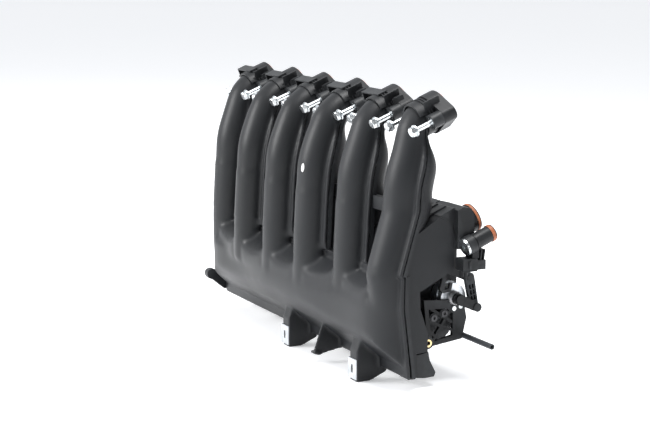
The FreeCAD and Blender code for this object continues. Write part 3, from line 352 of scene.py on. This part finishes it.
def metalFinish(name, look):
    finish, tree, shader = newFinish(name)
    grain = useGroup(tree, grainGroup, **{"Grain Scale": look["grain"],
                                          "Flow Scale": look["flow"], "Stretch": 1.0})
    flow = spreadValue(tree, grain.outputs["Flow"], *noiseSpan, 0.0, 1.0)
    tree.links.new(mixColors(tree, flow, look["dark"], look["pale"]),
                   shader.inputs["Base Color"])
    gloss = spreadValue(tree, grain.outputs["Grain"], *noiseSpan, look["smooth"], look["rough"])
    tree.links.new(gloss, shader.inputs["Roughness"])
    shader.inputs["Metallic"].default_value = look["metal"]
    addBump(tree, shader, grain.outputs["Grain"], look["bump"], bumpDepth["metal"])
    return finish


def plasticLook(level, **changes):
    # a near-black with a cool tint, unless the changes say otherwise
    look = {"dark": tuple(level * part for part in plasticTint["dark"]) + (1,),
            "pale": tuple(level * part for part in plasticTint["pale"]) + (1,),
            "worn": (0.09, 0.095, 0.10, 1), "grain": 1500.0, "flow": 7.0, "stretch": 0.3,
            "smooth": 0.36, "rough": 0.50, "bump": 0.22, "shine": 0.28, "rubAndHighlight": 0.45}
    look.update(changes)
    return look


finishes = {
    "shell_plastic": plasticFinish("shellPlastic", plasticLook(0.014)),
    "collar_plastic": plasticFinish("collarPlastic", plasticLook(0.013, flow=25.0, stretch=1.0)),
    "trim_plastic": plasticFinish("trimPlastic", plasticLook(0.011, flow=30.0, stretch=1.0,
                                                            smooth=0.42, rough=0.58)),
    "lever_plastic": plasticFinish("leverPlastic", plasticLook(0.010, smooth=0.3, rough=0.45)),
    "link_plastic": plasticFinish("linkPlastic", plasticLook(0.028, smooth=0.45, rough=0.6)),
    "pipe_plastic": plasticFinish("pipePlastic", plasticLook(0.055, smooth=0.4, rough=0.55)),
    "grommet_rubber": plasticFinish("grommetRubber", plasticLook(0.012, smooth=0.6, rough=0.8)),
    "bush_plastic": plasticFinish("bushPlastic", plasticLook(
        0.5, dark=(0.62, 0.58, 0.48, 1), pale=(0.7, 0.67, 0.58, 1), smooth=0.25, rough=0.35)),
    "seal_orange": plasticFinish("sealRubber", plasticLook(
        0.3, dark=(0.42, 0.10, 0.03, 1), pale=(0.60, 0.20, 0.08, 1), smooth=0.35, rough=0.5)),
    "zinc": metalFinish("zincPlate", {
        "dark": (0.66, 0.70, 0.72, 1), "pale": (0.88, 0.90, 0.91, 1), "grain": 700.0,
        "flow": 90.0, "smooth": 0.20, "rough": 0.38, "bump": 0.12, "metal": 1.0}),
    "clip_steel": metalFinish("clipSteel", {
        "dark": (0.42, 0.44, 0.46, 1), "pale": (0.60, 0.62, 0.64, 1), "grain": 900.0,
        "flow": 60.0, "smooth": 0.42, "rough": 0.6, "bump": 0.15, "metal": 0.6}),
    "brass": metalFinish("turnedBrass", {
        "dark": (0.72, 0.52, 0.22, 1), "pale": (0.93, 0.78, 0.48, 1), "grain": 900.0,
        "flow": 120.0, "smooth": 0.18, "rough": 0.32, "bump": 0.1, "metal": 1.0}),
    "can_silver": metalFinish("canSilver", {
        "dark": (0.62, 0.65, 0.68, 1), "pale": (0.82, 0.85, 0.88, 1), "grain": 500.0,
        "flow": 40.0, "smooth": 0.28, "rough": 0.42, "bump": 0.08, "metal": 0.85}),
    "flap_steel": metalFinish("flapSteel", {
        "dark": (0.42, 0.42, 0.43, 1), "pale": (0.62, 0.62, 0.63, 1), "grain": 800.0,
        "flow": 60.0, "smooth": 0.30, "rough": 0.5, "bump": 0.1, "metal": 1.0}),
}


def dressNode(node):
    slot = next(part["material_slot"] for part in frame["record"]["subparts"]
                if part["node"] == node)
    owner = nodes[node]
    if not owner.material_slots:
        owner.data.materials.append(finishes[slot])
    for place in owner.material_slots:
        place.material = finishes[slot]
    return slot


for name in nodes:
    dressNode(name)
darkScrews = metalFinish("blackenedSteel", {
    "dark": (0.05, 0.05, 0.052, 1), "pale": (0.11, 0.11, 0.115, 1), "grain": 700.0,
    "flow": 90.0, "smooth": 0.32, "rough": 0.5, "bump": 0.12, "metal": 1.0})
for place in nodes["bracket_screws"].material_slots:
    place.material = darkScrews
print("finishes on", len(nodes), "CAD nodes")


def newPiece(name, bm, slot, body):
    mesh = bpy.data.meshes.new(name)
    bm.to_mesh(mesh)
    bm.free()
    piece = bpy.data.objects.new(name, mesh)
    scene.collection.objects.link(piece)
    mesh.materials.append(finishes[slot])
    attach(piece, body)
    return piece


def addShape(bm, shape):
    # puts a finished bmesh into another one and frees it
    bmesh.ops.recalc_face_normals(shape, faces=shape.faces)
    mesh = bpy.data.meshes.new("shape")
    shape.to_mesh(mesh)
    shape.free()
    bm.from_mesh(mesh)
    bpy.data.meshes.remove(mesh)


def smoothVerts(bm, verts, passes, factor):
    for step in range(passes):
        bmesh.ops.smooth_vert(bm, verts=verts, factor=factor, use_axis_x=True,
                              use_axis_y=True, use_axis_z=True)


def applyModifiers(piece):
    ready = bpy.data.meshes.new_from_object(piece.evaluated_get(
        bpy.context.evaluated_depsgraph_get()))
    piece.modifiers.clear()
    piece.data = ready


gapWebs = {
    "half": 0.031,             # half width, into the runner on each side
    "foot": 0.088,             # the web's underside, inside the collector
    "backY": -0.042,           # where the pocket floor meets the seam flange
    "backZ": 0.1255,
    "slope": 0.93,             # fall of the pocket floor towards the front
    "lift": 0.0030,            # above the CAD floor
    "lipLift": 0.0060,         # and more at the lip
    "sag": 0.0050,             # the U of the lip, lowest midway between two runners
    "probeZ": 0.125,           # height at which the runners' fronts are found
    "behindFront": 0.0015,
    "columns": 26,
    "rows": 12,
}


def runnerFront(k):
    # the foremost point of a runner just above the collector
    tree = BVHTree.FromObject(nodes["front_shell"], bpy.context.evaluated_depsgraph_get())
    hit = tree.ray_cast(Vector((runnerX[k], rayStart, gapWebs["probeZ"])), rayDir)
    return hit[0].y


def addGapWebs(bm):
    # the raised floor of each pocket between two runners, up to its U-shaped lip
    sizes = gapWebs
    fronts = [runnerFront(k) for k in range(len(runnerX))]
    for gap in range(len(fronts) - 1):
        centre = (runnerX[gap] + runnerX[gap + 1]) / 2
        web = bmesh.new()
        bmesh.ops.create_cube(web, size=1.0)
        for axis, cuts in ((0, sizes["columns"]), (1, sizes["rows"])):
            along = [e for e in web.edges
                     if abs(e.verts[0].co[axis] - e.verts[1].co[axis]) > 0.5]
            bmesh.ops.subdivide_edges(web, edges=along, cuts=cuts)
        for v in web.verts:
            isTop = v.co.z > 0
            along = 0.5 - v.co.y
            aside = v.co.x + 0.5
            frontY = fronts[gap] + aside * (fronts[gap + 1] - fronts[gap])
            frontY += sizes["behindFront"]
            y = sizes["backY"] - along * (sizes["backY"] - frontY)
            floor = sizes["backZ"] + (y - sizes["backY"]) * sizes["slope"]
            sag = sizes["sag"] * (2 * v.co.x) ** 2
            top = floor + sizes["lift"] + along * sizes["lipLift"] + sag
            v.co = Vector((centre + 2 * v.co.x * sizes["half"], y,
                           top if isTop else sizes["foot"]))
        addShape(bm, web)


frontShell = {
    "mergeBelow": 1e-6,
    "voxel": 0.0017,
    "roundPasses": 2, "roundFactor": 0.5,      # rounds every edge a little
    "blendPasses": 34, "blendFactor": 0.6,     # blends the runners into the collector
    "blendLow": 0.060, "blendTop": 0.146, "blendDepth": 0.027,
    "mostTriangles": 190000,
}


def makeFrontShell():
    # the CAD shape with its edges rounded and its runners blended into the collector
    sizes = frontShell
    bm = bmesh.new()
    bm.from_mesh(nodes["front_shell"].data)
    bmesh.ops.remove_doubles(bm, verts=bm.verts, dist=sizes["mergeBelow"])
    addGapWebs(bm)
    piece = newPiece("frontShellMoulding", bm, dressNode("front_shell"), "housing")
    grid = piece.modifiers.new("grid", "REMESH")
    grid.mode = "VOXEL"
    grid.voxel_size = sizes["voxel"]
    applyModifiers(piece)
    bm = bmesh.new()
    bm.from_mesh(piece.data)
    smoothVerts(bm, bm.verts, sizes["roundPasses"], sizes["roundFactor"])
    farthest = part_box("front_shell")[0].y + sizes["blendDepth"]
    chosen = [v for v in bm.verts if sizes["blendLow"] < v.co.z < sizes["blendTop"]
              and v.co.y < farthest]
    smoothVerts(bm, chosen, sizes["blendPasses"], sizes["blendFactor"])
    bm.to_mesh(piece.data)
    bm.free()
    count = sum(len(p.vertices) - 2 for p in piece.data.polygons)
    if count > sizes["mostTriangles"]:
        thin = piece.modifiers.new("thin", "DECIMATE")
        thin.ratio = sizes["mostTriangles"] / count
        applyModifiers(piece)
    for face in piece.data.polygons:
        face.use_smooth = True
    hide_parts("front_shell")
    print("front shell made, triangles before thinning", count)
    return piece


frontMoulding = makeFrontShell()


collarTrim = {
    "sealMiddle": 0.0542,       # seal centre, along the port from the bolt heads
    "flangeFrom": 0.0375, "flangeTo": 0.0545,
    "flangeRadius": 0.0232, "lobeRadius": 0.0090, "lobeOffset": 0.02765,
    "portOpening": 0.0206, "boltOpening": 0.0056,
    "lipFrom": 0.0185, "lipTo": 0.0270, "lipRadius": 0.0216, "lipWall": 0.0022,
    "lipHalfAngle": 66.0,
    "ribAt": (0.0300, 0.0335), "ribRadius": 0.0226, "ribWide": 0.0016, "ribDeep": 0.004,
    "ribHalfAngle": 110.0,
    "finX": 0.0195, "finFrom": 0.026, "finTo": 0.047, "finThick": 0.0017,
    "finLow": 0.006, "finHigh": 0.0230, "finLean": 14,
    "flangeEdge": 0.0012, "trimEdge": 0.0004, "sharpAbove": 0.6,
    "rodLength": 0.2, "rodSides": 56,
}


def portFrame(k):
    # across the bank, along the port and up, from the bolt heads
    across = Vector((1, 0, 0))
    origin = middle("port_seal_%d" % k) - portDir * collarTrim["sealMiddle"]
    turn = Matrix((across, portDir, portUp)).transposed().to_4x4()
    return Matrix.Translation(origin) @ turn


def arcStrip(bm, start, end, inner, outer, halfAngle, steps=28):
    # a strip bent round the port axis, symmetric about its top
    first = math.radians(-halfAngle)
    turn = math.radians(2 * halfAngle)
    ring = [bm.verts.new((r * math.sin(first), y, r * math.cos(first)))
            for r, y in ((inner, start), (outer, start), (outer, end), (inner, end))]
    face = bm.faces.new(ring)
    bmesh.ops.spin(bm, geom=[face] + list(face.edges) + ring, cent=(0, 0, 0),
                   axis=(0, 1, 0), angle=turn, steps=steps)


def hullPlate(bm, start, end, circles, steps=40):
    # the outline round several circles (x, z, radius), as thick as start to end
    rim = []
    for x, z, radius in circles:
        made = bmesh.ops.create_circle(bm, segments=steps, radius=radius, cap_ends=False)
        bmesh.ops.rotate(bm, verts=made["verts"], matrix=Matrix.Rotation(math.pi / 2, 3, "X"))
        bmesh.ops.translate(bm, verts=made["verts"], vec=(x, start, z))
        rim += made["verts"]
    other = bmesh.ops.duplicate(bm, geom=rim)["geom"]
    far = [g for g in other if isinstance(g, bmesh.types.BMVert)]
    bmesh.ops.translate(bm, verts=far, vec=(0, end - start, 0))
    result = bmesh.ops.convex_hull(bm, input=rim + far, use_existing_faces=False)
    unused = [g for g in result["geom_interior"] if isinstance(g, bmesh.types.BMVert)]
    bmesh.ops.delete(bm, geom=unused, context="VERTS")


def addPlate(bm, place, sizes, turn=None):
    # a flat plate, turned and then moved into place
    made = bmesh.ops.create_cube(bm, size=1.0)["verts"]
    bmesh.ops.scale(bm, verts=made, vec=sizes)
    if turn:
        bmesh.ops.rotate(bm, verts=made, matrix=turn)
    bmesh.ops.translate(bm, verts=made, vec=place)


def softenEdges(bm, width, limit):
    # bevels the edges that turn by more than limit, in radians
    sharp = [e for e in bm.edges if e.is_manifold and e.calc_face_angle(0) > limit]
    bmesh.ops.bevel(bm, geom=sharp, offset=width, offset_type="OFFSET", affect="EDGES",
                    segments=2, profile=0.5, material=-1, clamp_overlap=True)


def addRod(bm, x, radius):
    # a rod along the port axis, longer than any collar
    made = bmesh.ops.create_cone(bm, cap_ends=True, segments=collarTrim["rodSides"],
                                 radius1=radius, radius2=radius,
                                 depth=collarTrim["rodLength"])["verts"]
    bmesh.ops.rotate(bm, verts=made, matrix=Matrix.Rotation(math.pi / 2, 3, "X"))
    bmesh.ops.translate(bm, verts=made, vec=(x, 0, 0))


def makeFlangeMesh():
    # the rhombic flange, open for the port and for both bolts
    sizes = collarTrim
    bm = bmesh.new()
    lobes = [(side * sizes["lobeOffset"], 0.0, sizes["lobeRadius"]) for side in (-1, 1)]
    hullPlate(bm, sizes["flangeFrom"], sizes["flangeTo"],
              [(0.0, 0.0, sizes["flangeRadius"])] + lobes)
    softenEdges(bm, sizes["flangeEdge"], sizes["sharpAbove"])
    bmesh.ops.recalc_face_normals(bm, faces=bm.faces)
    rods = bmesh.new()
    addRod(rods, 0.0, sizes["portOpening"])
    for side in (-1, 1):
        addRod(rods, side * sizes["lobeOffset"], sizes["boltOpening"])
    bmesh.ops.recalc_face_normals(rods, faces=rods.faces)
    made = []
    for name, source in (("flange", bm), ("flangeRods", rods)):
        mesh = bpy.data.meshes.new(name)
        source.to_mesh(mesh)
        source.free()
        made.append(bpy.data.objects.new(name, mesh))
        scene.collection.objects.link(made[-1])
    flange, cutter = made
    cut = flange.modifiers.new("cut", "BOOLEAN")
    cut.operation = "DIFFERENCE"
    cut.object = cutter
    applyModifiers(flange)
    mesh = flange.data
    bpy.data.objects.remove(flange)
    bpy.data.objects.remove(cutter)
    return mesh


flangeMesh = makeFlangeMesh()


def makeCollarTrim(k):
    # rhombic flange, arched lip over the runner neck, ribs and side fin of one collar
    sizes = collarTrim
    bm = bmesh.new()
    bm.from_mesh(flangeMesh)
    trim = bmesh.new()
    arcStrip(trim, sizes["lipFrom"], sizes["lipTo"], sizes["lipRadius"] - sizes["lipWall"],
             sizes["lipRadius"], sizes["lipHalfAngle"])
    for at in sizes["ribAt"]:
        arcStrip(trim, at, at + sizes["ribWide"], sizes["ribRadius"] - sizes["ribDeep"],
                 sizes["ribRadius"], sizes["ribHalfAngle"])
    finMiddle = (sizes["finFrom"] + sizes["finTo"]) / 2
    finTall = sizes["finHigh"] - sizes["finLow"]
    lean = Matrix.Rotation(math.radians(sizes["finLean"]), 3, "Y")
    addPlate(trim, (sizes["finX"], finMiddle, sizes["finLow"] + finTall / 2),
             (sizes["finThick"], sizes["finTo"] - sizes["finFrom"], finTall), lean)
    softenEdges(trim, sizes["trimEdge"], sizes["sharpAbove"])
    addShape(bm, trim)
    bm.transform(portFrame(k))
    newPiece("collarTrim_%d" % k, bm, "collar_plastic", "housing")


for k in runners:
    makeCollarTrim(k)
print("collar trims made")


# sizes of the dark sheets on the clips, painted shade for their openings
clipSlotShade = {"wide": 0.0034, "tall": 0.0100, "thick": 0.0006, "aboveFoot": 0.0150,
            "sunk": 0.0001, "corner": 0.0014, "sharpAbove": 1.0}


def makeClipSlotShades():
    # a dark sheet on the face of each clip, painted shade standing in for its opening;
    # the clips stand as far apart as the fourth and sixth runners
    low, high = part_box("clip_nuts")
    spacing = runnerX[5] - runnerX[3]
    inset = (high.x - low.x - spacing) / 2
    bm = bmesh.new()
    for place in (low.x + inset, high.x - inset):
        addPlate(bm, (place, low.y + clipSlotShade["sunk"], clipSlotShade["aboveFoot"]),
                 (clipSlotShade["wide"], clipSlotShade["thick"], clipSlotShade["tall"]))
    softenEdges(bm, clipSlotShade["corner"], clipSlotShade["sharpAbove"])
    newPiece("clipSlotShades", bm, "trim_plastic", "housing")


makeClipSlotShades()
print("clip slots made")


paintDot = {"runner": 4, "height": 0.236, "aside": 0.0070, "wide": 0.0024, "tall": 0.0052,
            "proud": 0.00025, "thick": 0.0004, "sides": 40, "cuts": 3}


def makePaintDot():
    # an oval laid on the moulding, by rays from the front
    sizes = paintDot
    tree = BVHTree.FromObject(frontMoulding, bpy.context.evaluated_depsgraph_get())
    start = Vector((runnerX[sizes["runner"] - 1] + sizes["aside"], rayStart,
                    sizes["height"]))
    bm = bmesh.new()
    bmesh.ops.create_circle(bm, cap_ends=True, segments=sizes["sides"], radius=1.0)
    bmesh.ops.poke(bm, faces=list(bm.faces))
    bmesh.ops.subdivide_edges(bm, edges=list(bm.edges), cuts=sizes["cuts"],
                              use_grid_fill=True)
    for v in bm.verts:
        x, z = v.co.x * sizes["wide"], v.co.y * sizes["tall"]
        hit = tree.ray_cast(start + Vector((x, 0, z)), rayDir)
        v.co = hit[0] + hit[1] * sizes["proud"]
    bmesh.ops.solidify(bm, geom=list(bm.faces), thickness=sizes["thick"])
    bmesh.ops.recalc_face_normals(bm, faces=bm.faces)
    for face in bm.faces:
        face.smooth = True
    return newPiece("paintDot", bm, "shell_plastic", "housing")


dot = makePaintDot()
dotPaint = plasticFinish("dotPaint", plasticLook(
    0.5, dark=(0.80, 0.80, 0.79, 1), pale=(0.90, 0.90, 0.89, 1), worn=(0.7, 0.7, 0.7, 1),
    smooth=0.45, rough=0.6, flow=60.0))
dot.material_slots[0].material = dotPaint
print("paint dot made")
